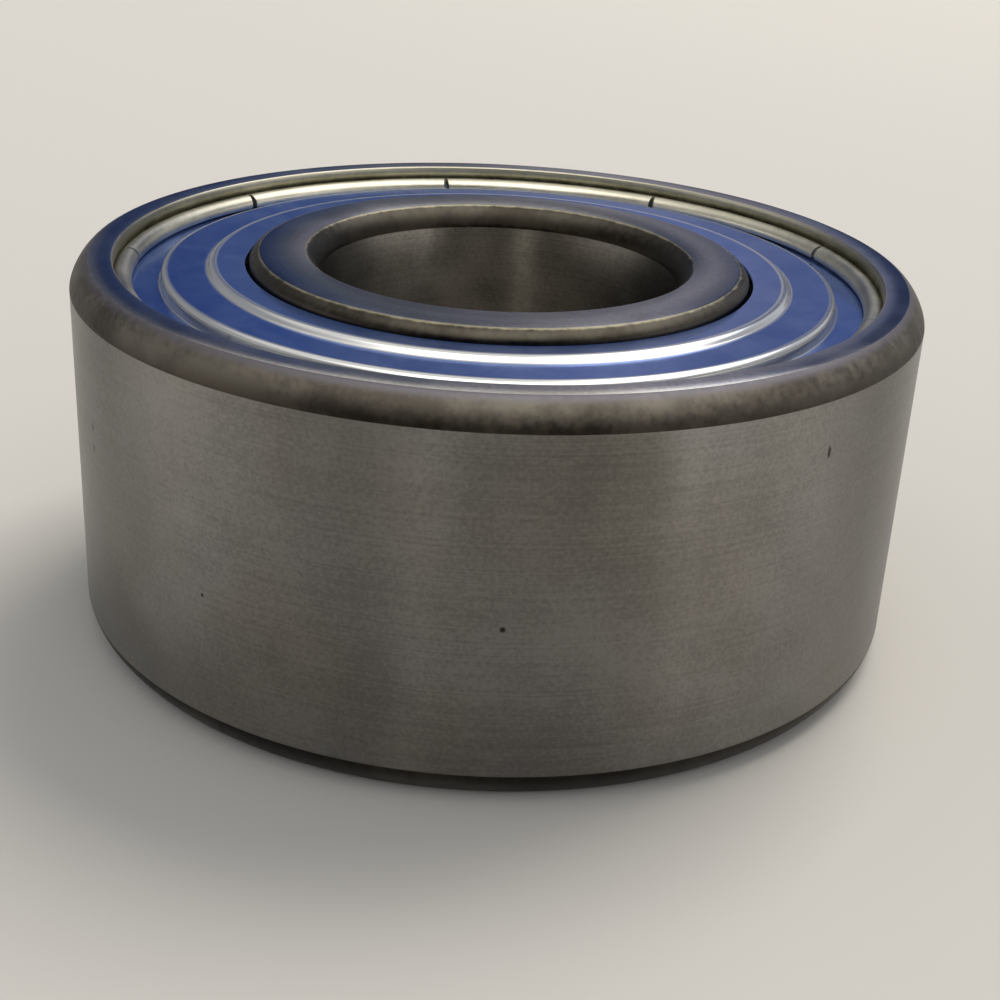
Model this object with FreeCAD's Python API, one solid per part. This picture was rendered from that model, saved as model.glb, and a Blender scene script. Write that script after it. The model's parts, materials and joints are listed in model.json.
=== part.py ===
import FreeCAD, Part
import math
import os

# A double-row angular contact ball bearing with a pressed metal shield on each side. Its two rows stand back
# to back: their contact lines spread apart towards the shaft, so the outer ring has a rib between the rows
# and the inner ring has its high shoulders at the ends.
#
# Millimetres and degrees. The origin is the centre of the bearing and +Z is its axis. "Upper" is the +Z side.
# Profiles lie in the half-plane of radius and height, and the lower half mirrors the upper one.

# Boundary sizes, which are those of a standard 20 x 47 x 20.6 bearing.
bore_diameter = 20.0
outside_diameter = 47.0
width = 20.6

# Corners: how far each one reaches along the face and along the axis, and how far its curve bulges.
outer_corner_radial = 1.05
outer_corner_axial = 1.5
bore_corner_radial = 0.9
bore_corner_axial = 1.2
shoulder_corner_radial = 0.65
shoulder_corner_axial = 0.6
outer_corner_bulge = 0.2
bore_corner_bulge = 0.14
shoulder_corner_bulge = 0.12

# Outer ring: its flat face, the recess that the shield sits in, and the rib between the rows.
outer_face_width = 1.17
mouth_break = 0.08
shield_seat_depth = 1.85
shield_ledge = 1.0
retaining_lip = 0.15
rib_height = 1.77

# Inner ring: the heights of its end shoulders and middle land above the bottom of the raceways.
shoulder_height = 0.82
middle_land_height = 0.37

# Balls and raceways.
ball_count = 10
row_gap = 0.81
contact_angle = 30.0
raceway_relief = 0.14
ball_play = 0.04

# Cages: moulded rings, open towards the middle of the bearing, whose claws snap over the balls.
pocket_clearance = 0.1
cage_base = 0.6
cage_radial_width = 2.5
cage_to_shield = 0.2
claw_reach = 1.5
claw_relief_depth = 1.9
claws_and_gap = 3

# Shields: pressed sheet with two raised rings and a rolled, notched rim that is crimped into the recess.
sheet_thickness = 0.3
sheet_bend_radius = 0.25
bead_radius = 0.58
bead_bite = 0.2
bead_fit = 0.02
bead_end_angle = 195.0
valley_width = 1.56
outer_step_run = 0.15
outer_plateau_depth = 0.82
inner_step_run = 0.25
inner_plateau_width = 1.7
inner_plateau_depth = 0.5
inner_edge_depth = 0.65
shield_to_shoulder = 0.25
notch_count = 9
first_notch_angle = 21.0
notch_width_at_edge = 0.36
notch_width_at_crest = 0.1
notch_past_crest = 0.15
notch_overrun = 0.1

# What follows from those sizes.
half_width = width / 2
bore_radius = bore_diameter / 2
outside_radius = outside_diameter / 2
pitch_radius = (bore_radius + outside_radius) / 2
seat_height = half_width - shield_seat_depth
cage_top = seat_height - cage_to_shield
ball_radius = (cage_top - cage_base - pocket_clearance - row_gap / 2) / 2
row_offset = row_gap / 2 + ball_radius
pocket_radius = ball_radius + pocket_clearance
raceway_radius = ball_radius + raceway_relief
raceway_shift = raceway_relief - ball_play
tilt = math.radians(contact_angle)
recess_radius = outside_radius - outer_corner_radial - outer_face_width - mouth_break
bead_centre_radius = recess_radius + bead_bite - bead_radius
bead_height = seat_height + bead_radius
groove_radius = bead_centre_radius + bead_radius + bead_fit

AXIS = FreeCAD.Vector(0, 0, 1)
ORIGIN = FreeCAD.Vector(0, 0, 0)


def at(radius, height):
    """A point of a profile."""
    return FreeCAD.Vector(radius, 0, height)


def towards(angle):
    """The profile direction at an angle in radians: 0 points outwards, a quarter turn points up."""
    return at(math.cos(angle), math.sin(angle))


def unit(direction):
    return direction * (1 / direction.Length)


def left_of(direction):
    """The profile direction a quarter turn anticlockwise of another."""
    return at(-direction.z, direction.x)


def lines(*points):
    """Straight segments through the points."""
    return list(zip(points, points[1:]))


def arc(centre, radius, start_angle, end_angle):
    """A circular segment between two angles in radians, as its start, middle and end."""
    angles = (start_angle, (start_angle + end_angle) / 2, end_angle)
    return tuple(centre + towards(angle) * radius for angle in angles)


def bulged(start, end, bulge):
    """An arc that stands off its chord by the bulge, to the right of the way from start to end."""
    middle = (start + end) * 0.5 - left_of(unit(end - start)) * bulge
    return (start, middle, end)


def mirrored(segments):
    """The same outline below the middle plane, running back to where the first one started."""
    return [tuple(at(p.x, -p.z) for p in reversed(segment)) for segment in reversed(segments)]


def revolved(segments):
    """The solid swept by a closed outline about the axis: two points make a line, three make an arc."""
    edges = []
    for segment in segments:
        if len(segment) == 2:
            edges.append(Part.LineSegment(*segment).toShape())
        else:
            edges.append(Part.Arc(*segment).toShape())
    return Part.Face(Part.Wire(edges)).revolve(ORIGIN, AXIS, 360).removeSplitter()


def turned(shape, angle):
    """A copy turned about the axis by an angle in degrees."""
    copy = shape.copy()
    copy.rotate(ORIGIN, AXIS, angle)
    return copy


def flipped(shape):
    """The mirror image below the middle plane."""
    return shape.mirror(ORIGIN, AXIS)


def make_outer_ring():
    centre = at(pitch_radius - raceway_shift * math.cos(tilt), row_offset + raceway_shift * math.sin(tilt))
    bottom_radius = centre.x + raceway_radius
    rib_radius = bottom_radius - rib_height
    land_radius = min(bottom_radius - retaining_lip, groove_radius - shield_ledge)
    rib_angle = math.acos((rib_radius - centre.x) / raceway_radius)
    land_angle = math.acos((land_radius - centre.x) / raceway_radius)
    raceway = arc(centre, raceway_radius, -rib_angle, land_angle)

    bead_centre = at(bead_centre_radius, bead_height)
    groove_curve = bead_radius + bead_fit
    lip_angle = math.acos((recess_radius - bead_centre.x) / groove_curve)
    groove = arc(bead_centre, groove_curve, 0, lip_angle)

    corner = bulged(
        at(outside_radius, half_width - outer_corner_axial),
        at(outside_radius - outer_corner_radial, half_width),
        outer_corner_bulge,
    )[::-1]
    upper_half = (
        lines(at(rib_radius, 0), raceway[0])
        + [raceway]
        + lines(raceway[-1], at(land_radius, seat_height), at(groove_radius, seat_height), groove[0])
        + [groove]
        + lines(
            groove[-1],
            at(recess_radius, half_width - mouth_break),
            at(recess_radius + mouth_break, half_width),
            corner[0],
        )
        + [corner]
        + lines(corner[-1], at(outside_radius, 0))
    )
    return revolved(upper_half + mirrored(upper_half))


def inner_shoulder_radius():
    """The radius of the inner ring's end shoulders, which the shields' inner edges clear."""
    return pitch_radius + raceway_shift * math.cos(tilt) - raceway_radius + shoulder_height


def make_inner_ring():
    centre = at(pitch_radius + raceway_shift * math.cos(tilt), row_offset - raceway_shift * math.sin(tilt))
    bottom_radius = centre.x - raceway_radius
    middle_radius = bottom_radius + middle_land_height
    shoulder_radius = inner_shoulder_radius()
    middle_angle = math.acos((centre.x - middle_radius) / raceway_radius)
    shoulder_angle = math.acos((centre.x - shoulder_radius) / raceway_radius)
    raceway = arc(centre, raceway_radius, math.pi + middle_angle, math.pi - shoulder_angle)

    shoulder_corner = bulged(
        at(shoulder_radius, half_width - shoulder_corner_axial),
        at(shoulder_radius - shoulder_corner_radial, half_width),
        shoulder_corner_bulge,
    )
    bore_corner = bulged(
        at(bore_radius + bore_corner_radial, half_width),
        at(bore_radius, half_width - bore_corner_axial),
        bore_corner_bulge,
    )
    upper_half = (
        lines(at(middle_radius, 0), raceway[0])
        + [raceway]
        + lines(raceway[-1], shoulder_corner[0])
        + [shoulder_corner]
        + lines(shoulder_corner[-1], bore_corner[0])
        + [bore_corner]
        + lines(bore_corner[-1], at(bore_radius, 0))
    )
    return revolved(upper_half + mirrored(upper_half))


def bend(before, corner, after, offset):
    """The arc that one surface of the sheet makes round a bend, a given offset to the left of its middle."""
    inwards = unit(corner - before)
    outwards = unit(after - corner)
    turn = math.atan2(left_of(inwards).dot(outwards), inwards.dot(outwards))
    side = math.copysign(1, turn)
    reach = sheet_bend_radius * math.tan(abs(turn) / 2)
    start = corner - inwards * reach
    end = corner + outwards * reach
    centre = start + left_of(inwards) * (side * sheet_bend_radius)
    radius = sheet_bend_radius - side * offset
    return tuple(centre + unit(point - centre) * radius for point in (start, corner, end))


def sheet_surface(path, offset):
    """One surface of a bent sheet: straight between bends, a given offset to the left of the middle path."""
    here = path[0] + left_of(unit(path[1] - path[0])) * offset
    segments = []
    for before, corner, after in zip(path, path[1:], path[2:]):
        curve = bend(before, corner, after, offset)
        segments += lines(here, curve[0]) + [curve]
        here = curve[-1]
    last = path[-1] + left_of(unit(path[-1] - path[-2])) * offset
    return segments + lines(here, last)


def make_upper_shield():
    half_sheet = sheet_thickness / 2
    inner_radius = inner_shoulder_radius() + shield_to_shoulder
    inner_step = inner_radius + inner_plateau_width
    floor_start = bead_centre_radius - bead_radius - valley_width
    path = [
        at(inner_radius, half_width - inner_edge_depth - half_sheet),
        at(inner_step, half_width - inner_plateau_depth - half_sheet),
        at(inner_step + inner_step_run, half_width - outer_plateau_depth - half_sheet),
        at(floor_start - outer_step_run, half_width - outer_plateau_depth - half_sheet),
        at(floor_start, seat_height + half_sheet),
        at(bead_centre_radius, seat_height + half_sheet),
    ]
    under_side = sheet_surface(path, -half_sheet)
    top_side = sheet_surface(path, half_sheet)

    bead_centre = at(bead_centre_radius, bead_height)
    start_angle = -math.pi / 2
    end_angle = math.radians(bead_end_angle)
    bead_outside = arc(bead_centre, bead_radius, start_angle, end_angle)
    bead_inside = arc(bead_centre, bead_radius - sheet_thickness, end_angle, start_angle)
    outline = (
        under_side
        + [bead_outside]
        + lines(bead_outside[-1], bead_inside[0])
        + [bead_inside]
        + [segment[::-1] for segment in reversed(top_side)]
        + lines(top_side[0][0], under_side[0][0])
    )
    return revolved(outline).cut(Part.makeCompound(notch_cutters()))


def notch_cutters():
    """Wedges that notch the rolled rim from its free edge to just past its crest, clear of the floor."""
    inner = bead_centre_radius - bead_radius - notch_overrun
    outer = bead_centre_radius + notch_past_crest
    free_edge = bead_height + bead_radius * math.sin(math.radians(bead_end_angle))
    floor = seat_height + sheet_thickness
    base = (free_edge + floor) / 2
    top = bead_height + bead_radius + notch_overrun
    corners = [
        FreeCAD.Vector(inner, -notch_width_at_edge / 2, base),
        FreeCAD.Vector(outer, -notch_width_at_crest / 2, base),
        FreeCAD.Vector(outer, notch_width_at_crest / 2, base),
        FreeCAD.Vector(inner, notch_width_at_edge / 2, base),
    ]
    wedge = Part.Face(Part.makePolygon(corners + corners[:1])).extrude(AXIS * (top - base))
    return [turned(wedge, first_notch_angle + 360 * i / notch_count) for i in range(notch_count)]


def ball_angles(first_angle):
    """The angle of each ball of a row, in degrees."""
    return [first_angle + 360 * i / ball_count for i in range(ball_count)]


def make_upper_cage():
    """A snap-in cage whose first pocket lies on +X."""
    outer = pitch_radius + cage_radial_width / 2
    inner = pitch_radius - cage_radial_width / 2
    claw_tips = row_offset - claw_reach
    height = cage_top - claw_tips
    base = FreeCAD.Vector(0, 0, claw_tips)
    body = Part.makeCylinder(outer, height, base, AXIS).cut(Part.makeCylinder(inner, height, base, AXIS))

    pocket = Part.makeSphere(pocket_radius, at(pitch_radius, row_offset))
    bar_width = 2 * pitch_radius * math.sin(math.pi / ball_count) - 2 * pocket_radius
    gap_radius = bar_width / claws_and_gap / 2
    gap_end = claw_tips + claw_relief_depth - gap_radius
    slot = Part.makeBox(
        cage_radial_width * 2,
        gap_radius * 2,
        gap_end - claw_tips + gap_radius,
        FreeCAD.Vector(pitch_radius - cage_radial_width, -gap_radius, claw_tips - gap_radius),
    )
    slot_end = Part.makeCylinder(
        gap_radius,
        cage_radial_width * 2,
        at(pitch_radius - cage_radial_width, gap_end),
        FreeCAD.Vector(1, 0, 0),
    )
    claw_gap = slot.fuse(slot_end)

    cutters = [turned(pocket, angle) for angle in ball_angles(0)]
    cutters += [turned(claw_gap, angle) for angle in ball_angles(180 / ball_count)]
    return body.cut(Part.makeCompound(cutters))


def save(node, shape):
    """Write one sub-part and say what it is, so that a broken one shows."""
    if not shape.isValid() or len(shape.Solids) != 1:
        raise ValueError(node + " is not one valid solid")
    shape.Solids[0].exportStep("parts/" + node + ".step")
    print(node, round(shape.Volume, 3))


def main():
    os.makedirs("parts", exist_ok=True)
    save("outer_ring", make_outer_ring())
    save("inner_ring", make_inner_ring())

    upper_shield = make_upper_shield()
    save("upper_shield", upper_shield)
    save("lower_shield", flipped(upper_shield))

    # The two rows run in their own cages, and here the lower one stands half a ball spacing further round.
    upper_cage = make_upper_cage()
    half_spacing = 180 / ball_count
    save("upper_cage", upper_cage)
    save("lower_cage", turned(flipped(upper_cage), half_spacing))

    upper_ball = Part.makeSphere(ball_radius, at(pitch_radius, row_offset))
    lower_ball = Part.makeSphere(ball_radius, at(pitch_radius, -row_offset))
    for number, angle in enumerate(ball_angles(0), 1):
        save("upper_ball_%02d" % number, turned(upper_ball, angle))
    for number, angle in enumerate(ball_angles(half_spacing), 1):
        save("lower_ball_%02d" % number, turned(lower_ball, angle))


main()
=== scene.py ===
import json
import math

import bmesh
import bpy
import numpy as np
from mathutils import Matrix, Vector


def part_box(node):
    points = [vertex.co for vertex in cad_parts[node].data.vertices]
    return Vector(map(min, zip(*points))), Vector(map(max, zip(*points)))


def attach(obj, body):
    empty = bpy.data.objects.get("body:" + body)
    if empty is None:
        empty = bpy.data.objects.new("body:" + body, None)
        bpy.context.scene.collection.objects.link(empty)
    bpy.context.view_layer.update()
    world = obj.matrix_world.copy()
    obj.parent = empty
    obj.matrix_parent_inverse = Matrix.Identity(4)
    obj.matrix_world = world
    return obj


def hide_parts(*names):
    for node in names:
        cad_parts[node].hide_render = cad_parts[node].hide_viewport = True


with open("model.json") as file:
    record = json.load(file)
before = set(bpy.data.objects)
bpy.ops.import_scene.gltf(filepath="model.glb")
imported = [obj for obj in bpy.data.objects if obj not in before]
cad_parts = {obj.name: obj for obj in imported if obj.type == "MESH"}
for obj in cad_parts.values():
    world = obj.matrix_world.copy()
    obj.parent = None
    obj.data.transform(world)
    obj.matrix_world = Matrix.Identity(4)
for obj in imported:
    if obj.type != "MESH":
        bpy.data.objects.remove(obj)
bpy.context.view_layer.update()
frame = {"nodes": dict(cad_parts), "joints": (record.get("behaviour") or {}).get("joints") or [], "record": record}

# Outer ring: one through-hardened bearing steel ring. It is turned, hardened, and then ground on the outside
# and on both side faces. The corners, the shield recess and the hidden rib keep their dark turned skin.
MM = 0.001
mounts = {mount["name"]: mount["dims"] for mount in frame["record"]["mounts"]}
ring_box = [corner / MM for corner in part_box("outer_ring")]
outside_radius = ring_box[1].x
half_width = ring_box[1].z
outer_corner_radial = 1.05
outer_corner_axial = half_width - mounts["outer_seat"]["length_mm"] / 2
outer_corner_power = 1.42
outer_face_width = 1.17
mouth_break = 0.08
mouth_rounding = 0.03
rib_radius = 18.58
rib_half_width = 1.0
land_radius = 20.2
raceway_radius = 3.71
outer_raceway_centre = (16.67, 4.03)
outer_raceway_turn = (-55, 18)
edge_rounding = 0.05
raceway_steps = 16
ring_columns = 360
crease_angle = math.radians(35)


def hexcolour(text):
    """Linear red, green, blue and alpha from an sRGB hex string."""
    srgb = np.array([int(text[i:i + 2], 16) for i in (1, 3, 5)]) / 255
    linear = np.where(srgb <= 0.04045, srgb / 12.92, ((srgb + 0.055) / 1.055) ** 2.4)
    return (*linear.tolist(), 1.0)


def add(tree, kind, inputs=None, stops=(), **settings):
    """Adds a node with its own settings. Each input takes a number, a colour or the socket that drives it. A
    colour ramp also takes its stops, each a position and a hex colour."""
    made = tree.nodes.new("ShaderNode" + kind)
    for name, value in settings.items():
        setattr(made, name, value)
    for key, value in (inputs or {}).items():
        if isinstance(value, bpy.types.NodeSocket):
            tree.links.new(value, made.inputs[key])
        else:
            made.inputs[key].default_value = value
    if stops:
        elements = made.color_ramp.elements
        while len(elements) < len(stops):
            elements.new(0.5)
        for element, (position, text) in zip(elements, stops):
            element.position = position
            element.color = hexcolour(text)
    return made


def new_material(name):
    """An empty material with a Principled shader: the material, its node tree and the shader."""
    material = bpy.data.materials.new(name)
    material.use_nodes = True
    return material, material.node_tree, material.node_tree.nodes["Principled BSDF"]


def ground_steel(name, dark, light, rough, spread, anisotropy, metallic, nicks=()):
    """Ground bearing steel. The grinding lines run round the axis, so they follow height plus distance from
    it, and the sheen is drawn out across them. The colour wanders slowly between two greys. Each nick is a
    small dark mark at an angle and a height, with its half width and half height in millimetres."""
    material, tree, shader = new_material(name)
    place = add(tree, "TexCoord").outputs["Object"]
    parts = add(tree, "SeparateXYZ", {0: place})
    flat = add(tree, "CombineXYZ", {"X": parts.outputs["X"], "Y": parts.outputs["Y"]})
    reach = add(tree, "VectorMath", {0: flat.outputs[0]}, operation="LENGTH")
    across = add(tree, "Math", {0: reach.outputs["Value"], 1: parts.outputs["Z"]}, operation="ADD")
    # Grinding lines are really about 0.01 mm apart. They are drawn 0.1 mm apart and 17 mm long, to show.
    line_gap = 0.1 * MM
    line_length = 50 / 3 * MM
    line_place = add(
        tree, "CombineXYZ", {"X": parts.outputs["X"], "Y": parts.outputs["Y"], "Z": across.outputs[0]}
    )
    line_place = add(
        tree,
        "VectorMath",
        {0: line_place.outputs[0], 1: (1 / line_length, 1 / line_length, 1 / line_gap)},
        operation="MULTIPLY",
    )
    lines = add(tree, "TexNoise", {"Vector": line_place.outputs[0], "Scale": 1.0, "Detail": 3.0})
    # Slow patches from handling and a film of oil, and fine speckle from the ends of the grinding marks.
    patch_size = 5.263 * MM
    speckle_size = 0.2 * MM
    patches = add(
        tree, "TexNoise", {"Vector": place, "Scale": 1 / patch_size, "Detail": 5.0, "Roughness": 0.6}
    )
    speckle = add(tree, "TexNoise", {"Vector": place, "Scale": 1 / speckle_size, "Detail": 2.0})
    tone = add(
        tree, "Math", {0: lines.outputs["Fac"], 1: 0.6, 2: patches.outputs["Fac"]}, operation="MULTIPLY_ADD"
    )
    tone = add(
        tree, "Math", {0: speckle.outputs["Fac"], 1: 0.9, 2: tone.outputs[0]}, operation="MULTIPLY_ADD"
    )
    lightness = add(
        tree,
        "MapRange",
        {"Value": tone.outputs[0], "From Min": 0.85, "From Max": 1.65},
        interpolation_type="SMOOTHSTEP",
    )
    colour = add(
        tree, "Mix", {0: lightness.outputs[0], 6: hexcolour(dark), 7: hexcolour(light)}, data_type="RGBA"
    ).outputs[2]
    # The film tints some patches warmer.
    tint_size = 8.333 * MM
    tint = add(tree, "TexNoise", {"Vector": place, "Scale": 1 / tint_size, "Detail": 3.0})
    warmth = add(
        tree,
        "MapRange",
        {"Value": tint.outputs["Fac"], "From Min": 0.35, "From Max": 0.7, "To Min": 0.0, "To Max": 0.4},
        interpolation_type="SMOOTHSTEP",
    )
    warm = add(
        tree, "Mix", {0: 1.0, 6: colour, 7: hexcolour("#f4ead8")}, data_type="RGBA", blend_type="MULTIPLY"
    )
    colour = add(
        tree, "Mix", {0: warmth.outputs[0], 6: colour, 7: warm.outputs[2]}, data_type="RGBA"
    ).outputs[2]
    for angle, level, half_across, half_along in nicks:
        turn = math.radians(angle)
        centre = [outside_radius * MM * math.cos(turn), outside_radius * MM * math.sin(turn), level * MM]
        sizes = (1 / half_across / MM, 1 / half_across / MM, 1 / half_along / MM)
        away = add(tree, "VectorMath", {0: place, 1: centre}, operation="SUBTRACT")
        away = add(tree, "VectorMath", {0: away.outputs[0], 1: sizes}, operation="MULTIPLY")
        away = add(tree, "VectorMath", {0: away.outputs[0]}, operation="LENGTH")
        clear = add(
            tree,
            "MapRange",
            {"Value": away.outputs["Value"], "From Min": 0.5, "From Max": 1.2},
            interpolation_type="SMOOTHSTEP",
        )
        colour = add(
            tree, "Mix", {0: clear.outputs[0], 6: hexcolour("#2b2825"), 7: colour}, data_type="RGBA"
        ).outputs[2]
    roughness = add(
        tree,
        "MapRange",
        {
            "Value": patches.outputs["Fac"], "From Min": 0.3, "From Max": 0.7,
            "To Min": rough, "To Max": rough + spread,
        },
        interpolation_type="SMOOTHSTEP",
    )
    line_depth = 0.004 * MM
    bump = add(tree, "Bump", {"Height": lines.outputs["Fac"], "Strength": 0.3, "Distance": line_depth})
    tangent = add(tree, "Tangent", direction_type="RADIAL", axis="Z")
    tree.links.new(colour, shader.inputs["Base Color"])
    tree.links.new(roughness.outputs[0], shader.inputs["Roughness"])
    tree.links.new(bump.outputs[0], shader.inputs["Normal"])
    tree.links.new(tangent.outputs[0], shader.inputs["Tangent"])
    shader.inputs["Metallic"].default_value = metallic
    shader.inputs["Anisotropic"].default_value = anisotropy
    shader.inputs["Anisotropic Rotation"].default_value = 0.25
    return material


def turned_skin(name, dark, light, rough, full_shade_level, worn_from, worn_to, worn):
    """The skin that turning and hardening leave: a brown-grey oxide, finely mottled. Painted shade darkens it
    towards the middle plane: fully within the first of three distances from the middle, fading out by the second.
    Near the ground face it is worn through to the steel, between the second and the third distance, and the mottle
    makes that edge ragged."""
    material, tree, shader = new_material(name)
    place = add(tree, "TexCoord").outputs["Object"]
    mottle_size = 0.4167 * MM
    cloud_size = 3.846 * MM
    mottle = add(
        tree, "TexNoise", {"Vector": place, "Scale": 1 / mottle_size, "Detail": 5.0, "Roughness": 0.6}
    )
    clouds = add(tree, "TexNoise", {"Vector": place, "Scale": 1 / cloud_size, "Detail": 3.0})
    tone = add(
        tree, "Math", {0: clouds.outputs["Fac"], 1: 1.4, 2: mottle.outputs["Fac"]}, operation="MULTIPLY_ADD"
    )
    lightness = add(
        tree,
        "MapRange",
        {"Value": tone.outputs[0], "From Min": 0.85, "From Max": 1.55},
        interpolation_type="SMOOTHSTEP",
    )
    colour = add(
        tree, "Mix", {0: lightness.outputs[0], 6: hexcolour(dark), 7: hexcolour(light)}, data_type="RGBA"
    ).outputs[2]
    level = add(tree, "SeparateXYZ", {0: place}).outputs["Z"]
    level = add(tree, "Math", {0: level}, operation="ABSOLUTE")
    # Painted shade: the skin is darker towards the middle plane, away from the ground face.
    above_painted_shade = add(
        tree,
        "MapRange",
        {"Value": level.outputs[0], "From Min": full_shade_level * MM, "From Max": worn_from * MM},
        interpolation_type="SMOOTHSTEP",
    )
    painted_shade = add(
        tree, "Mix", {0: 1.0, 6: colour, 7: hexcolour("#a39f9b")}, data_type="RGBA", blend_type="MULTIPLY"
    )
    colour = add(
        tree, "Mix", {0: above_painted_shade.outputs[0], 6: painted_shade.outputs[2], 7: colour}, data_type="RGBA"
    ).outputs[2]
    ragged_height = 0.12
    ragged = add(
        tree,
        "Math",
        {0: mottle.outputs["Fac"], 1: ragged_height * MM, 2: level.outputs[0]},
        operation="MULTIPLY_ADD",
    )
    wear = add(
        tree,
        "MapRange",
        {
            "Value": ragged.outputs[0],
            "From Min": (worn_from + ragged_height / 2) * MM,
            "From Max": (worn_to + ragged_height / 2) * MM,
        },
        interpolation_type="SMOOTHSTEP",
    )
    colour = add(
        tree, "Mix", {0: wear.outputs[0], 6: colour, 7: hexcolour(worn)}, data_type="RGBA"
    ).outputs[2]
    roughness = add(
        tree,
        "MapRange",
        {
            "Value": mottle.outputs["Fac"], "From Min": 0.3, "From Max": 0.7,
            "To Min": rough - 0.06, "To Max": rough + 0.08,
        },
        interpolation_type="SMOOTHSTEP",
    )
    skin_relief = 0.04 * MM
    bump = add(tree, "Bump", {"Height": mottle.outputs["Fac"], "Strength": 0.12, "Distance": skin_relief})
    tree.links.new(colour, shader.inputs["Base Color"])
    tree.links.new(roughness.outputs[0], shader.inputs["Roughness"])
    tree.links.new(bump.outputs[0], shader.inputs["Normal"])
    shader.inputs["Metallic"].default_value = 1.0
    return material


def arc(centre, radius, start, end, steps):
    """Points at equal turns along a circular arc between two angles in degrees, none of them a corner."""
    turn = np.radians(np.linspace(start, end, steps + 1))
    points = np.array(centre) + radius * np.stack([np.cos(turn), np.sin(turn)], 1)
    return np.column_stack([points, np.zeros(len(points))])


def corner_curve(face, wall, power, steps=16):
    """A turned corner from a point on the face to a point on the wall: a quarter of a superellipse, whose two
    shares of the way, each to this power, add up to one. It meets the face and the wall without a crease."""
    turn = np.linspace(0, np.pi / 2, steps + 1)
    out = np.sin(turn) ** (2 / power)
    up = np.cos(turn) ** (2 / power)
    return np.column_stack([
        face[0] + (wall[0] - face[0]) * out,
        wall[1] + (face[1] - wall[1]) * up,
        np.zeros(steps + 1),
    ])


def rounded(outline, steps=4):
    """Rows of radius, height and rounding become rows of radius and height. A corner that has a rounding
    becomes the parabola that touches both its sides that far from it."""
    corner, reach = outline[:, None, :2], outline[:, None, 2:]
    before = np.roll(corner, 1, 0) - corner
    after = np.roll(corner, -1, 0) - corner
    start = corner + reach * before / np.linalg.norm(before, axis=2, keepdims=True)
    end = corner + reach * after / np.linalg.norm(after, axis=2, keepdims=True)
    share = np.linspace(0, 1, steps + 1)[None, :, None]
    curve = (1 - share) ** 2 * start + 2 * share * (1 - share) * corner + share**2 * end
    keep = np.ones(curve.shape[:2], bool)
    keep[outline[:, 2] == 0, 1:] = False
    return curve[keep]


def mirrored(outline):
    """The outline of the upper half and its mirror image below the middle plane, as one closed outline."""
    below = outline[:0:-1] * np.array([1, -1, 1])
    return np.concatenate([outline, below])


def outline_normals(outline):
    """The outward direction at each point of a closed anticlockwise outline: the mean of its two sides'
    normals, each counted by the inverse of its length, so that a short rounding doesn't lean on a long side
    beside it."""
    side = np.roll(outline, -1, 0) - outline
    length = np.linalg.norm(side, axis=1, keepdims=True)
    normal = np.stack([side[:, 1], -side[:, 0]], 1) / length**2
    normal = normal + np.roll(normal, 1, 0)
    return normal / np.linalg.norm(normal, axis=1, keepdims=True)


def make_piece(name, vertices, faces, normals, indexes, materials, body, node):
    """Puts a mesh with its own corner normals into the scene and ties it to the frame. Edges that turn by
    more than the crease angle stay sharp."""
    mesh = bpy.data.meshes.new(name)
    mesh.from_pydata(vertices * MM, [], faces.tolist())
    mesh.polygons.foreach_set("use_smooth", np.ones(len(faces), bool))
    mesh.polygons.foreach_set("material_index", indexes.astype(np.int32))
    mesh.set_sharp_from_angle(angle=crease_angle)
    mesh.normals_split_custom_set(normals.reshape(-1, 3))
    for material in materials:
        mesh.materials.append(material)
    piece = bpy.data.objects.new(name, mesh)
    bpy.context.scene.collection.objects.link(piece)
    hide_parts(node)
    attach(piece, body)


def turned(name, outline, materials, zones, body, node):
    """A ring: the closed outline carried round the axis. Point (i, j) is outline point i at turn j, and zones
    gives the number of each side's material from its middle's radius and its height off the middle plane."""
    area = np.sum(outline[:, 0] * np.roll(outline[:, 1], -1) - np.roll(outline[:, 0], -1) * outline[:, 1])
    outline = outline if area > 0 else outline[::-1]
    turn = np.linspace(0, 2 * np.pi, ring_columns, endpoint=False)
    around = np.stack([np.cos(turn), np.sin(turn)], 1)
    rows = len(outline)
    height = np.broadcast_to(outline[:, None, 1:], (rows, ring_columns, 1))
    vertices = np.concatenate([outline[:, None, :1] * around, height], 2).reshape(-1, 3)
    lean = outline_normals(outline)
    rise = np.broadcast_to(lean[:, None, 1:], (rows, ring_columns, 1))
    normals = np.concatenate([lean[:, None, :1] * around, rise], 2).reshape(-1, 3)
    i, j = np.meshgrid(np.arange(rows), np.arange(ring_columns), indexing="ij")
    here, there = i * ring_columns, (i + 1) % rows * ring_columns
    right = (j + 1) % ring_columns
    faces = np.stack([here + j, here + right, there + right, there + j], 2).reshape(-1, 4)
    middle = (outline + np.roll(outline, -1, 0)) / 2
    indexes = np.repeat(zones(middle[:, 0], np.abs(middle[:, 1])), ring_columns)
    make_piece(name, vertices, faces, normals[faces], indexes, materials, body, node)


recess_radius = outside_radius - outer_corner_radial - outer_face_width - mouth_break
bead_radius = 0.58
shield_box = [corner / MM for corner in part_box("upper_shield")]
seat_height = shield_box[0].z
bead_centre = (shield_box[1].x - bead_radius, seat_height + bead_radius)
groove_play = 0.02
groove_curve = bead_radius + groove_play
lip_angle = math.degrees(math.acos((recess_radius - bead_centre[0]) / groove_curve))
outer_upper = np.concatenate([
    [(rib_radius, 0, 0), (rib_radius, rib_half_width, edge_rounding)],
    arc(outer_raceway_centre, raceway_radius, *outer_raceway_turn, raceway_steps)[1:],
    [
        (land_radius, seat_height, edge_rounding),
        (bead_centre[0] + groove_curve, seat_height, groove_play),
    ],
    arc(bead_centre, groove_curve, 0, lip_angle, 6),
    [
        (recess_radius, half_width - mouth_break, mouth_rounding),
        (recess_radius + mouth_break, half_width, mouth_rounding),
    ],
    corner_curve(
        (outside_radius - outer_corner_radial, half_width),
        (outside_radius, half_width - outer_corner_axial),
        outer_corner_power,
    ),
])

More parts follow.
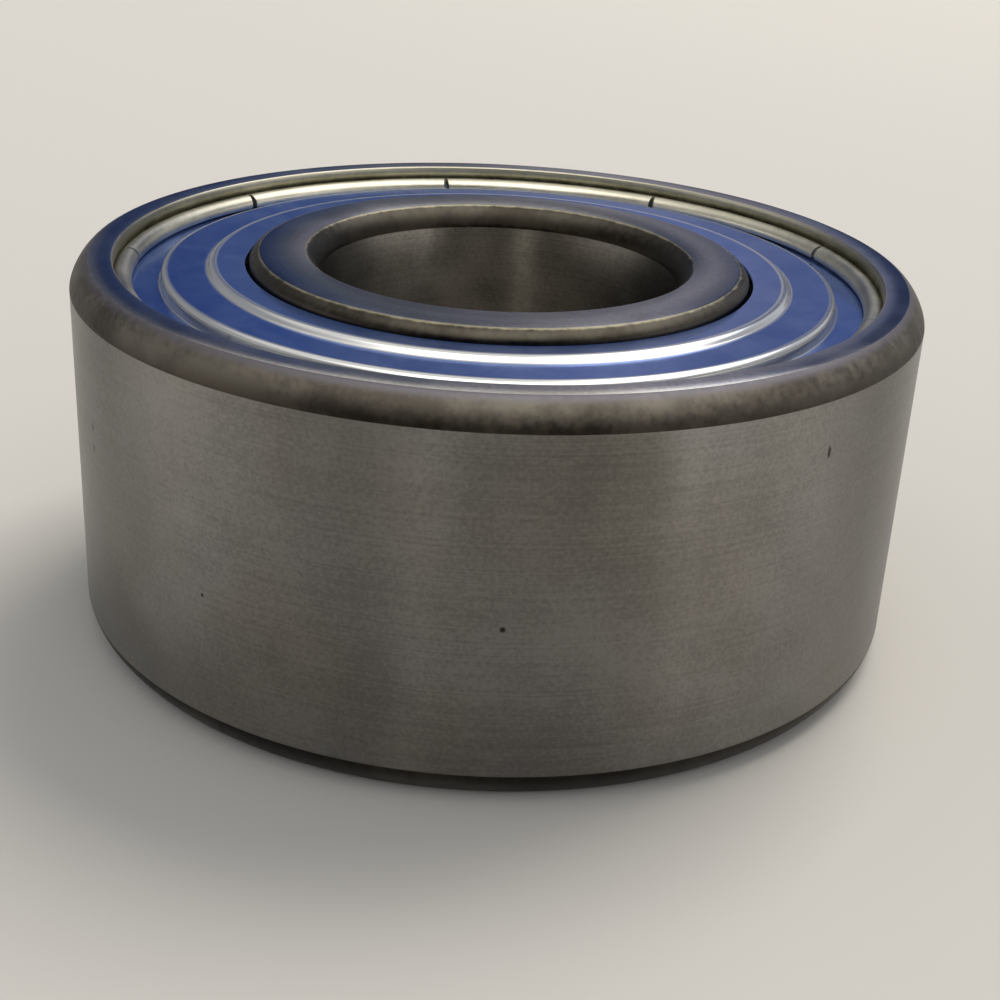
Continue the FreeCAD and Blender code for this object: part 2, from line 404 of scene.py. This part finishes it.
# Satin ground outside: warm grey, with a soft upright sheen because the grinding lines run round the ring.
# A film of oil dulls its mirror a little.
outside_ground = ground_steel(
    "ground_bearing_steel_outside", "#676562", "#7d7b78", 0.33, 0.06, 0.94, 0.85,
    nicks=[
        (-46.9, 6.16, 0.14, 0.36), (-150.1, 3.35, 0.15, 0.25), (-150.1, 2.17, 0.15, 0.25),
        (-87.7, -0.81, 0.16, 0.16), (-125.3, -2.07, 0.1, 0.13),
    ],
)
# Ground side faces: cooler and smoother, so they mirror what stands behind the ring.
face_ground = ground_steel("ground_bearing_steel_face", "#adadb2", "#c7c7cc", 0.17, 0.07, 0.6, 1.0)
# Turned and hardened skin: dark, nearly matt and brownish, rubbed bright where it meets the face, and darkened
# towards the outside by painted shade.
corner_skin = turned_skin("hardened_turned_steel_skin", "#484440", "#6c6862", 0.5, 8.9, 9.9, 10.28, "#66646d")
# Turned recess wall: the same skin, thinner, lighter and a little olive, and darkened deeper in the recess by
# painted shade.
recess_skin = turned_skin("turned_steel_recess", "#7d7b6c", "#a09e8e", 0.4, 8.6, 9.8, 10.3, "#a3a090")
wall_margin = 0.1
face_margin = 0.02


def outer_zones(radius, height):
    """0 ground outside, 1 ground face, 2 turned skin, 3 turned recess."""
    outside = (radius > outside_radius - wall_margin) & (height < half_width - outer_corner_axial)
    face = (height > half_width - face_margin) & (radius > recess_radius)
    recess = (radius < recess_radius + mouth_break) & (height > seat_height)
    return np.where(outside, 0, np.where(face, 1, np.where(recess, 3, 2)))


turned(
    "outer_ring_body",
    rounded(mirrored(outer_upper)),
    [outside_ground, face_ground, corner_skin, recess_skin],
    outer_zones,
    "outer", "outer_ring",
)

# Inner ring: the same steel, ground in the bore and on its side faces. Its two high end shoulders stand
# just inside the shields, and their corners and sides keep the dark skin.
inner_box = [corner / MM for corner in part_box("inner_ring")]
shoulder_radius = inner_box[1].x
bore_radius = mounts["bore"]["r_mm"]
bore_corner_radial = 0.9
bore_corner_axial = half_width - mounts["bore"]["length_mm"] / 2
bore_corner_power = 1.33
shoulder_corner_radial = 0.65
shoulder_corner_axial = 0.6
shoulder_corner_power = 1.53
waist_radius = 13.5
waist_half_width = 2.35
inner_raceway_centre = (16.83, 3.92)
inner_raceway_turn = (205, 142)
inner_upper = np.concatenate([
    [(waist_radius, 0, 0), (waist_radius, waist_half_width, edge_rounding)],
    arc(inner_raceway_centre, raceway_radius, *inner_raceway_turn, raceway_steps)[1:-1],
    corner_curve(
        (shoulder_radius - shoulder_corner_radial, half_width),
        (shoulder_radius, half_width - shoulder_corner_axial),
        shoulder_corner_power,
    )[::-1],
    corner_curve(
        (bore_radius + bore_corner_radial, half_width),
        (bore_radius, half_width - bore_corner_axial),
        bore_corner_power,
    ),
])
# Ground end faces: finished like the outer ring's; their darker, slate colour is painted shade.
inner_face_ground = ground_steel(
    "ground_bearing_steel_inner_face", "#868992", "#a1a4ad", 0.17, 0.07, 0.8, 1.0
)
# Ground bore: the same satin as the outside, and lines that draw its sheen into one upright streak.
bore_ground = ground_steel("ground_bearing_steel_bore", "#6a6763", "#84817c", 0.3, 0.06, 0.9, 1.0)
# Turned shoulder: the darkest skin, worn to a pale line round the edge of the face, and darkened further from the
# face by painted shade.
shoulder_skin = turned_skin(
    "hardened_turned_steel_shoulder", "#373430", "#504d48", 0.4, 9.5, 10.2, 10.3, "#a09a86"
)


def inner_zones(radius, height):
    """0 ground bore, 1 ground face, 2 turned skin."""
    bore = (radius < bore_radius + wall_margin) & (height < half_width - bore_corner_axial)
    face = height > half_width - face_margin
    return np.where(bore, 0, np.where(face, 1, 2))


turned(
    "inner_ring_body",
    rounded(mirrored(inner_upper)),
    [bore_ground, inner_face_ground, shoulder_skin],
    inner_zones,
    "inner", "inner_ring",
)

# Shields: cold-rolled sheet 0.3 mm thick with a thin blue zinc finish, pressed into two raised rings; the blue of
# the flats is drawn deeper as a painted reflection of a blue surrounding. The rim is rolled into a bead and
# crimped into the outer ring's recess. Nine notches let it spread.
sheet = 0.3
bend = 0.2
step_bend = bend * 0.7
inner_edge_depth = 0.65
inner_plateau_depth = 0.5
outer_plateau_depth = 0.82
shield_gap = 0.25
inner_plateau_width = 1.7
inner_step_run = 0.25
outer_step_run = 0.15
valley_width = 1.56
floor_height = seat_height + sheet / 2
floor_start = bead_centre[0] - bead_radius - valley_width
inner_edge = shoulder_radius + shield_gap
inner_step = inner_edge + inner_plateau_width
bead_start, bead_end = -90, 195
bead_steps = 38
notch_root_turn = 75
notch_root_radius = bead_centre[0] + 0.15
notch_count = 9
first_notch = 21.0
notch_half_at_edge = 0.18
notch_half_at_crest = 0.05
columns_between_notches = 40
middle_line = np.concatenate([
    [
        (inner_edge, half_width - inner_edge_depth - sheet / 2, 0),
        (inner_step, half_width - inner_plateau_depth - sheet / 2, step_bend),
        (inner_step + inner_step_run, half_width - outer_plateau_depth - sheet / 2, step_bend),
        (floor_start - outer_step_run, half_width - outer_plateau_depth - sheet / 2, bend),
        (floor_start, floor_height, bend),
    ],
    arc(bead_centre, bead_radius - sheet / 2, bead_start, bead_end, bead_steps),
])


def shield_surface(line):
    """The sheet: its middle line set off half a thickness to each side and carried round the axis. Turns are
    not equal: each notch's two edges are columns, whose gap narrows from the bead's free edge to the notch's
    root. Vertices are (row, column), rows going out along the under side and back along the top."""
    run = np.diff(line, axis=0)
    across = np.stack([-run[:, 1], run[:, 0]], 1)
    normal = np.concatenate([across[:1], across[:-1] + across[1:], across[-1:]])
    normal = normal / np.linalg.norm(normal, axis=1, keepdims=True)
    outline = np.concatenate([line - normal * sheet / 2, (line + normal * sheet / 2)[::-1]])
    lean = np.concatenate([-normal, normal[::-1]])
    radius, height = outline.T
    notch_radii = [bead_centre[0] - bead_radius, notch_root_radius]
    half = np.interp(radius, notch_radii, [notch_half_at_edge, notch_half_at_crest])
    bead_turns = np.linspace(bead_start, bead_end, bead_steps + 1)
    root = len(line) - len(bead_turns) + np.searchsorted(bead_turns, notch_root_turn)
    on_notch = np.arange(len(line)) >= root
    on_notch = np.concatenate([on_notch, on_notch[::-1]])
    half = np.where(on_notch, half, notch_half_at_crest) / radius
    sector = 2 * np.pi / notch_count
    share = np.linspace(0, 1, columns_between_notches)
    start = np.radians(first_notch) + sector * np.arange(notch_count)
    turn = start[None, :, None] + half[:, None, None] + (sector - 2 * half)[:, None, None] * share
    turn = turn.reshape(len(outline), -1)
    around = np.stack([np.cos(turn), np.sin(turn)], 2)
    rows, columns = turn.shape
    level = np.broadcast_to(height[:, None, None], (rows, columns, 1))
    rise = np.broadcast_to(lean[:, None, 1:], (rows, columns, 1))
    vertices = np.concatenate([radius[:, None, None] * around, level], 2)
    normals = np.concatenate([lean[:, None, :1] * around, rise], 2)
    return vertices.reshape(-1, 3), normals.reshape(-1, 3), rows, columns, root, on_notch, outline


def shield_faces(rows, columns, root, on_notch):
    """Quads between neighbouring rows and columns, without those inside the notches, and then the notches'
    walls: one along each edge between the sheet's two sides, and one across each root."""
    i, j = np.meshgrid(np.arange(rows), np.arange(columns), indexing="ij")
    here, there = i * columns, (i + 1) % rows * columns
    right = (j + 1) % columns
    faces = np.stack([here + j, here + right, there + right, there + j], 2)
    in_notch = on_notch & np.roll(on_notch, -1)
    last = (j + 1) % columns_between_notches == 0
    keep = ~(in_notch[:, None] & last)
    before = np.arange(1, notch_count + 1) * columns_between_notches - 1
    after = (before + 1) % columns
    under = np.arange(root, rows // 2 - 1)[:, None]
    top = rows - 1 - under
    left_walls = np.stack([
        under * columns + before, (under + 1) * columns + before,
        (top - 1) * columns + before, top * columns + before,
    ], 2)
    right_walls = np.stack([
        top * columns + after, (top - 1) * columns + after,
        (under + 1) * columns + after, under * columns + after,
    ], 2)
    top_root = rows - 1 - root
    root_walls = np.stack([
        root * columns + before, top_root * columns + before,
        top_root * columns + after, root * columns + after,
    ], 1)
    walls = np.concatenate([left_walls.reshape(-1, 4), right_walls.reshape(-1, 4), root_walls])
    return faces[keep], walls, keep


# The two rounded steps, where a pale band is painted as a highlight: each one's middle radius and half width.
step_highlight_bands = [(inner_step + 0.12, 0.26), (floor_start - 0.08, 0.2)]
step_highlight_fade = 0.12


def sheet_steel(name, dark, light, rough, dimple, step_highlight_colour, metallic):
    """Cold-rolled sheet, pressed to shape: satin, hazed by fine scuffs. On the two rounded steps a pale band is
    painted in as a highlight. dimple is how strongly the crimping tool has marked it."""
    material, tree, shader = new_material(name)
    place = add(tree, "TexCoord").outputs["Object"]
    # Handling haze, broken up by finer scuffs.
    haze_size = 3.03 * MM
    haze = add(
        tree,
        "TexNoise",
        {"Vector": place, "Scale": 1 / haze_size, "Detail": 6.0, "Roughness": 0.7, "Distortion": 0.4},
    )
    # Stray scratches, stretched along one direction.
    scratch_length, scratch_width = 2 * MM, 0.16667 * MM
    stretch = add(
        tree,
        "Mapping",
        {
            "Vector": place, "Rotation": (0, 0, 0.6),
            "Scale": (1 / scratch_length, 1 / scratch_width, 1 / scratch_length),
        },
    )
    scratch = add(tree, "TexNoise", {"Vector": stretch.outputs[0], "Scale": 1.0, "Detail": 2.0})
    streak = add(
        tree,
        "MapRange",
        {"Value": scratch.outputs["Fac"], "From Min": 0.62, "From Max": 0.8},
        interpolation_type="SMOOTHSTEP",
    )
    # Grain of the rolled sheet.
    grain_size = 0.14286 * MM
    grain = add(tree, "TexNoise", {"Vector": place, "Scale": 1 / grain_size, "Detail": 2.0})
    tone = add(
        tree, "Math", {0: streak.outputs[0], 1: 0.25, 2: haze.outputs["Fac"]}, operation="MULTIPLY_ADD"
    )
    tone = add(tree, "Math", {0: grain.outputs["Fac"], 1: 0.3, 2: tone.outputs[0]}, operation="MULTIPLY_ADD")
    colour = add(
        tree, "ValToRGB", {"Fac": tone.outputs[0]}, stops=[(0.45, dark), (0.9, light)]
    ).outputs["Color"]
    parts = add(tree, "SeparateXYZ", {0: place})
    flat = add(tree, "CombineXYZ", {"X": parts.outputs["X"], "Y": parts.outputs["Y"]})
    reach = add(tree, "VectorMath", {0: flat.outputs[0]}, operation="LENGTH").outputs["Value"]
    # Painted highlight: a pale band along each rounded step.
    for middle, half in step_highlight_bands:
        off = add(tree, "Math", {0: reach, 1: middle * MM}, operation="SUBTRACT")
        off = add(tree, "Math", {0: off.outputs[0]}, operation="ABSOLUTE")
        off_step_highlight = add(
            tree,
            "MapRange",
            {"Value": off.outputs[0], "From Min": half * MM, "From Max": (half + step_highlight_fade) * MM},
            interpolation_type="SMOOTHSTEP",
        )
        colour = add(
            tree, "Mix", {0: off_step_highlight.outputs[0], 6: hexcolour(step_highlight_colour), 7: colour}, data_type="RGBA"
        ).outputs[2]
    roughness = add(
        tree,
        "MapRange",
        {
            "Value": tone.outputs[0], "From Min": 0.5, "From Max": 0.9,
            "To Min": rough, "To Max": rough + 0.08,
        },
        interpolation_type="SMOOTHSTEP",
    )
    # Marks of the crimping tool.
    mark_size, mark_depth = 0.4167 * MM, 0.06 * MM
    marks = add(tree, "TexNoise", {"Vector": place, "Scale": 1 / mark_size, "Detail": 2.0})
    bump = add(tree, "Bump", {"Height": marks.outputs["Fac"], "Strength": dimple, "Distance": mark_depth})
    tree.links.new(colour, shader.inputs["Base Color"])
    tree.links.new(roughness.outputs[0], shader.inputs["Roughness"])
    tree.links.new(bump.outputs[0], shader.inputs["Normal"])
    shader.inputs["Metallic"].default_value = metallic
    return material


# Blue zinc finish: a thin, glossy blue film, so the flats mirror a little less than uncoated metal. Their colour
# is partly the film's own blue and partly a painted reflection of a blue surrounding.
shield_flat = sheet_steel("blue_zinc_finished_sheet", "#4c71c2", "#7893d2", 0.12, 0.02, "#d9dce2", 0.78)
# Crimped rim: bare sheet, dimpled by the crimping tool, duller and a little yellow.
shield_bead = sheet_steel("crimped_bright_sheet_rim", "#b6b5aa", "#d3d1c5", 0.32, 0.14, "#d9dce2", 1.0)
seam_margin = 0.01


def make_shield(name, body, node, side):
    """A shield on the upper side (1) or, mirrored, on the lower side (-1)."""
    line = rounded(middle_line, 6)
    vertices, normals, rows, columns, root, on_notch, outline = shield_surface(line)
    skin, walls, keep = shield_faces(rows, columns, root, on_notch)
    first, second, fourth = (vertices[walls[:, corner]] for corner in (0, 1, 3))
    wall_normals = np.cross(second - first, fourth - first)
    wall_normals /= np.maximum(np.linalg.norm(wall_normals, axis=1, keepdims=True), 1e-12)
    faces = np.concatenate([skin, walls])
    corner_normals = np.concatenate([normals[skin], np.repeat(wall_normals[:, None], 4, 1)])
    middle = (outline[:, 0] + np.roll(outline[:, 0], -1)) / 2
    bead = middle > bead_centre[0] - bead_radius - seam_margin
    indexes = np.broadcast_to(bead[:, None], keep.shape)[keep].astype(int)
    indexes = np.concatenate([indexes, np.ones(len(walls), int)])
    if side < 0:
        flip = np.array([1, 1, -1])
        vertices = vertices * flip
        corner_normals = (corner_normals * flip)[:, ::-1]
        faces = faces[:, ::-1]
    materials = [shield_flat, shield_bead]
    make_piece(name, vertices, faces, corner_normals, indexes, materials, body, node)


make_shield("upper_shield_sheet", "outer", "upper_shield", 1)
make_shield("lower_shield_sheet", "outer", "lower_shield", -1)

# Cages: one moulded polyamide ring for each row, whose claws snap over the balls. They are hidden behind the
# shields. Each is the frame's own ring with its triangles joined and shaded smooth.
cage_plastic, tree, shader = new_material("moulded_glass_filled_polyamide")
place = add(tree, "TexCoord").outputs["Object"]
# Short glass fibres near the skin cloud the colour a little, and so do wider clouds.
fibre_length = 0.33333 * MM
cloud_width = 4 * MM
fibres = add(tree, "TexNoise", {"Vector": place, "Scale": 1 / fibre_length, "Detail": 3.0, "Roughness": 0.7})
clouds = add(tree, "TexNoise", {"Vector": place, "Scale": 1 / cloud_width, "Detail": 2.0})
mixed = add(
    tree, "Math", {0: fibres.outputs["Fac"], 1: 0.4, 2: clouds.outputs["Fac"]}, operation="MULTIPLY_ADD"
)
ivory = add(tree, "ValToRGB", {"Fac": mixed.outputs[0]}, stops=[(0.5, "#c3b899"), (0.95, "#ddd4b8")])
grain = add(tree, "Bump", {"Height": fibres.outputs["Fac"], "Strength": 0.15, "Distance": 0.03 * MM})
tree.links.new(ivory.outputs["Color"], shader.inputs["Base Color"])
tree.links.new(grain.outputs[0], shader.inputs["Normal"])
shader.inputs["Roughness"].default_value = 0.5
shader.inputs["Subsurface Weight"].default_value = 0.1
shader.inputs["Subsurface Radius"].default_value = (0.0006, 0.0005, 0.0003)
join_distance = 0.001 * MM
for row in ("upper", "lower"):
    node = row + "_cage"
    mesh = frame["nodes"][node].data.copy()
    mesh.name = node + "_moulding"
    joined = bmesh.new()
    joined.from_mesh(mesh)
    bmesh.ops.remove_doubles(joined, verts=joined.verts, dist=join_distance)
    joined.to_mesh(mesh)
    joined.free()
    mesh.polygons.foreach_set("use_smooth", np.ones(len(mesh.polygons), bool))
    mesh.set_sharp_from_angle(angle=crease_angle)
    mesh.materials.clear()
    mesh.materials.append(cage_plastic)
    piece = bpy.data.objects.new(node + "_moulding", mesh)
    bpy.context.scene.collection.objects.link(piece)
    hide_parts(node)
    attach(piece, node)

# Balls: ten lapped chrome steel balls in each row, held apart by their cage. Each is a closed sphere whose
# poles lie on the axis that it rolls about.
ball_steel, tree, shader = new_material("lapped_chrome_steel")
place = add(tree, "TexCoord").outputs["Object"]
# Oil film in patches about 1.4 mm across, which dull the lapped mirror a little.
film_size = 1.4286 * MM
film = add(tree, "TexNoise", {"Vector": place, "Scale": 1 / film_size, "Detail": 3.0})
lapped = add(tree, "ValToRGB", {"Fac": film.outputs["Fac"]}, stops=[(0.35, "#b2b2b4"), (0.7, "#cfcfd0")])
gloss = add(tree, "MapRange", {"Value": film.outputs["Fac"], "To Min": 0.04, "To Max": 0.12})
tree.links.new(lapped.outputs["Color"], shader.inputs["Base Color"])
tree.links.new(gloss.outputs[0], shader.inputs["Roughness"])
shader.inputs["Metallic"].default_value = 1.0


def ball_surface(centre, axis, radius, rings=32, segments=48):
    """A sphere: its points are the axis times the cosine of a slope plus a turning side direction times the
    sine. The two poles are single points."""
    axis = np.array(axis) / np.linalg.norm(axis)
    upright = abs(axis[2]) > 0.99
    side = np.cross(axis, [1.0, 0.0, 0.0] if upright else [0.0, 0.0, 1.0])
    side /= np.linalg.norm(side)
    other = np.cross(axis, side)
    slope = np.linspace(0, np.pi, rings + 1)[1:-1, None, None]
    turn = np.linspace(0, 2 * np.pi, segments, endpoint=False)[None, :, None]
    ring = axis * np.cos(slope) + (side * np.cos(turn) + other * np.sin(turn)) * np.sin(slope)
    directions = np.concatenate([[axis], ring.reshape(-1, 3), [-axis]])
    i, j = np.meshgrid(np.arange(rings - 2), np.arange(segments), indexing="ij")
    here, there = 1 + i * segments, 1 + (i + 1) * segments
    right = (j + 1) % segments
    quads = np.stack([here + j, there + j, there + right, here + right], 2).reshape(-1, 4)
    first = np.arange(segments)
    second = (first + 1) % segments
    tail = 1 + (rings - 2) * segments
    last_pole = np.full(segments, len(directions) - 1)
    caps = np.concatenate([
        np.stack([np.zeros(segments, int), 1 + first, 1 + second], 1),
        np.stack([last_pole, tail + second, tail + first], 1),
    ])
    return np.array(centre) + directions * radius, quads.tolist() + caps.tolist()


spins = {joint["child"]: joint for joint in frame["joints"]}
for node in sorted(name for name in frame["nodes"] if "_ball_" in name):
    low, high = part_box(node)
    spin = spins[node]
    points, faces = ball_surface(spin["pos_m"], spin["axis"], (high.z - low.z) / 2)
    mesh = bpy.data.meshes.new(node + "_lapped")
    mesh.from_pydata(points, [], faces)
    mesh.polygons.foreach_set("use_smooth", np.ones(len(faces), bool))
    mesh.materials.append(ball_steel)
    piece = bpy.data.objects.new(node + "_lapped", mesh)
    bpy.context.scene.collection.objects.link(piece)
    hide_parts(node)
    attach(piece, node)

# Floor: a plain pale sheet of matt paper that the bearing lies on. It reaches so far that only a low view
# meets its edge.
paper, tree, shader = new_material("plain_matt_paper")
shader.inputs["Base Color"].default_value = hexcolour("#dbd7d0")
shader.inputs["Roughness"].default_value = 0.9
shader.inputs["Specular IOR Level"].default_value = 0.2
floor_reach = 3.0
floor_level = -half_width * MM
floor_corners = ((-1, -1), (1, -1), (1, 1), (-1, 1))
floor_mesh = bpy.data.meshes.new("floor")
floor_mesh.from_pydata(
    [(x * floor_reach, y * floor_reach, floor_level) for x, y in floor_corners], [], [(0, 1, 2, 3)]
)
floor_mesh.materials.append(paper)
floor = bpy.data.objects.new("floor", floor_mesh)
bpy.context.scene.collection.objects.link(floor)

# Studio: even soft light from all round for matt things. Polished metal mirrors a room instead: blue in the
# distance with one pale panel in it, dark on the near side, pale above, and with four bright lights.
world = bpy.data.worlds.new("studio")
bpy.context.scene.world = world
world.use_nodes = True
tree = world.node_tree
toward = add(tree, "SeparateXYZ", {0: add(tree, "TexCoord").outputs["Generated"]})
sideways = add(tree, "Math", {0: toward.outputs["X"], 1: 0.5, 2: 0.5}, operation="MULTIPLY_ADD")
# The walls' colours run from the far left, 0, to the far right, 1.
distance_wall = add(
    tree,
    "ValToRGB",
    {"Fac": sideways.outputs[0]},
    stops=[
        (0.0, "#a9a6a0"), (0.3, "#6a6c70"), (0.36, "#26355c"), (0.4, "#324064"),
        (0.43, "#4a5878"), (0.47, "#616671"), (0.5, "#80808c"), (0.535, "#a19ea7"),
        (0.56, "#8a8894"), (0.585, "#777787"), (0.61, "#66708c"), (0.64, "#2e3b5c"),
        (0.7, "#293658"), (0.75, "#9a9ca2"), (0.8, "#c4c4c6"), (1.0, "#8d8a86"),
    ],
)
near_side = add(
    tree,
    "ValToRGB",
    {"Fac": sideways.outputs[0]},
    stops=[
        (0.0, "#d0ccc6"), (0.12, "#85817c"), (0.25, "#2a2826"), (0.5, "#1a1918"), (0.72, "#2a2826"),
        (0.85, "#8d8983"), (0.885, "#efece8"), (0.92, "#b0aca6"), (1.0, "#d8d4ce"),
    ],
)
off_middle = add(tree, "Math", {0: toward.outputs["X"]}, operation="ABSOLUTE")
lamp_offset = 0.24
off_lamp = add(tree, "Math", {0: toward.outputs["X"], 1: lamp_offset}, operation="ADD")
off_lamp = add(tree, "Math", {0: off_lamp.outputs[0]}, operation="ABSOLUTE")
directions = {
    "right": toward.outputs["X"],
    "back": toward.outputs["Y"],
    "up": toward.outputs["Z"],
    "off_middle": off_middle.outputs[0],
    "off_lamp": off_lamp.outputs[0],
}
# Soft edges bound each area of the room: a direction, where the edge starts, and where it is complete.
areas = {
    "distance": [("back", -0.1, 0.35)],
    "ceiling": [("up", 0.5, 0.78)],
    "overhead": [("up", 0.62, 0.72), ("back", 0.1, -0.05), ("right", -0.7, -0.3)],
    "key_side": [("up", 0.5, 0.6), ("right", 0.05, 0.3)],
    "low_sides": [("off_middle", 0.42, 0.7), ("up", 0.25, 0.08), ("back", 0.45, 0.2)],
    "lamp": [("up", 0.34, 0.5), ("off_lamp", 0.11, 0.04), ("back", -0.5, -0.7)],
}
inside = {}
for area, edges in areas.items():
    for direction, start, complete in edges:
        edge = add(
            tree,
            "MapRange",
            {"Value": directions[direction], "From Min": start, "From Max": complete},
            interpolation_type="SMOOTHSTEP",
        ).outputs[0]
        if area in inside:
            edge = add(tree, "Math", {0: inside[area], 1: edge}, operation="MULTIPLY").outputs[0]
        inside[area] = edge
pale_panel = hexcolour("#f1ece0")
room = add(
    tree,
    "Mix",
    {0: inside["distance"], 6: near_side.outputs["Color"], 7: distance_wall.outputs["Color"]},
    data_type="RGBA",
)
room = add(tree, "Mix", {0: inside["ceiling"], 6: room.outputs[2], 7: pale_panel}, data_type="RGBA")
room = add(tree, "Mix", {0: inside["lamp"], 6: room.outputs[2], 7: pale_panel}, data_type="RGBA")
# The lamp's and the low sides' strength is a share of the overhead panel's, which is added to the room's own.
lamp_share = 1.7
low_sides_share = 2.7
panel_strength = 2.2
bright = add(tree, "Math", {0: inside["overhead"], 1: inside["key_side"]}, operation="MAXIMUM")
bright = add(tree, "Math", {0: inside["lamp"], 1: lamp_share, 2: bright.outputs[0]}, operation="MULTIPLY_ADD")
bright = add(
    tree, "Math", {0: inside["low_sides"], 1: low_sides_share, 2: bright.outputs[0]}, operation="MULTIPLY_ADD"
)
strength = add(tree, "Math", {0: bright.outputs[0], 1: panel_strength, 2: 1.0}, operation="MULTIPLY_ADD")
mirrored_room = add(tree, "Background", {"Color": room.outputs[2], "Strength": strength.outputs[0]})
plain = add(tree, "Background", {"Color": hexcolour("#dee0e4"), "Strength": 0.67})
# The camera sees a backdrop close to the floor's own colour, so that the floor's edge is faint.
backdrop = add(tree, "Background", {"Color": hexcolour("#b9b4ab"), "Strength": 1.0})
rays = add(tree, "LightPath").outputs
seen = add(tree, "MixShader", {0: rays["Is Glossy Ray"], 1: plain.outputs[0], 2: mirrored_room.outputs[0]})
seen = add(tree, "MixShader", {0: rays["Is Camera Ray"], 1: seen.outputs[0], 2: backdrop.outputs[0]})
tree.links.new(seen.outputs[0], tree.nodes["World Output"].inputs["Surface"])
bpy.context.scene.view_settings.view_transform = "Standard"

# Key softbox: a square light behind and to the right, which casts the soft shadow. Metal doesn't mirror
# it, so it lights mostly the floor.
key_place = Vector((0.45, 0.6, 1.1))
key_light = bpy.data.lights.new("key_softbox", "AREA")
key_light.shape = "SQUARE"
key_light.size = 0.7
key_light.energy = 10.8
key_light.color = hexcolour("#fffaf2")[:3]
key = bpy.data.objects.new("key_softbox", key_light)
key.location = key_place
key.rotation_euler = (-key_place).to_track_quat("-Z", "Y").to_euler()
key.visible_camera = False
key.visible_glossy = False
bpy.context.scene.collection.objects.link(key)

# Camera: a normal lens close to the bearing, looking down at it and held slightly turned. Its distance is
# from the axis, and its height is above the bearing's upper face.
camera_distance = 0.08753
camera_height = 0.02427
pitch, yaw, roll = (math.radians(value) for value in (24.28, 0.46, 3.01))
camera_data = bpy.data.cameras.new("camera")
camera_data.lens = 57.6
camera_data.sensor_width = 36.0
camera_data.clip_start = 0.005
forward = Vector((math.sin(yaw) * math.cos(pitch), math.cos(yaw) * math.cos(pitch), -math.sin(pitch)))
level_right = Vector((math.cos(yaw), -math.sin(yaw), 0))
level_up = level_right.cross(forward)
right = level_right * math.cos(roll) + level_up * math.sin(roll)
up = level_up * math.cos(roll) - level_right * math.sin(roll)
turned_to = Matrix((right, up, -forward)).transposed().to_4x4()
camera = bpy.data.objects.new("camera", camera_data)
camera.matrix_world = Matrix.Translation((0, -camera_distance, half_width * MM + camera_height)) @ turned_to
bpy.context.scene.collection.objects.link(camera)
bpy.context.scene.camera = camera
